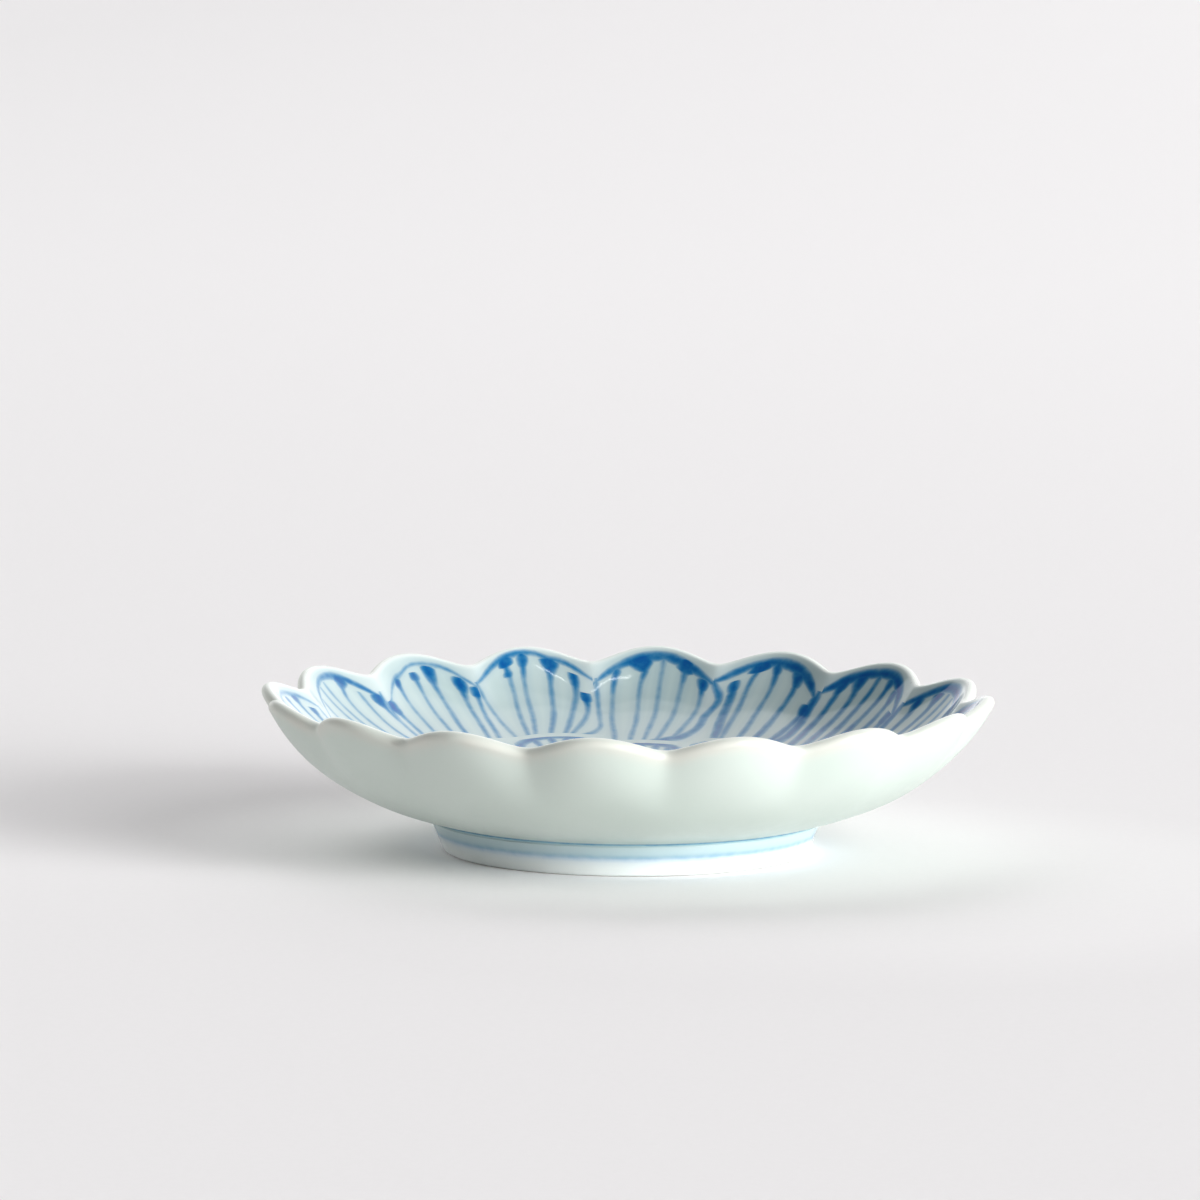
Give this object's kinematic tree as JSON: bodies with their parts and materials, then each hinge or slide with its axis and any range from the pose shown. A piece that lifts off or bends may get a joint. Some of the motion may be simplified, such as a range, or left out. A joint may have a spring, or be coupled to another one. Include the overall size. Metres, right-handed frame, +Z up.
{
  "type": "sauce dish",
  "caption": "Round scalloped porcelain sauce dish shaped as an open chrysanthemum, its low petalled wall rising from a plain foot ring.",
  "frame": {"origin": "middle of the foot ring, on the table", "axes": "+Z up along the axis of the dish, -Y towards the tip of a petal, which is the front, +X to the right"},
  "size_m": [0.1, 0.1, 0.0219],
  "materials": {
    "petal_bowl": "clear pale green-blue glaze over white porcelain, cobalt painting inside",
    "foot_ring": "clear glaze over white porcelain with two cobalt lines, bare fired edge at the table",
    "luting_slip": "fired porcelain slip, matt"
  },
  "bodies": {
    "root": {"petal_bowl": "petal_bowl", "foot_ring": "foot_ring", "luting_slip": "luting_slip"}
  },
  "joints": []
}
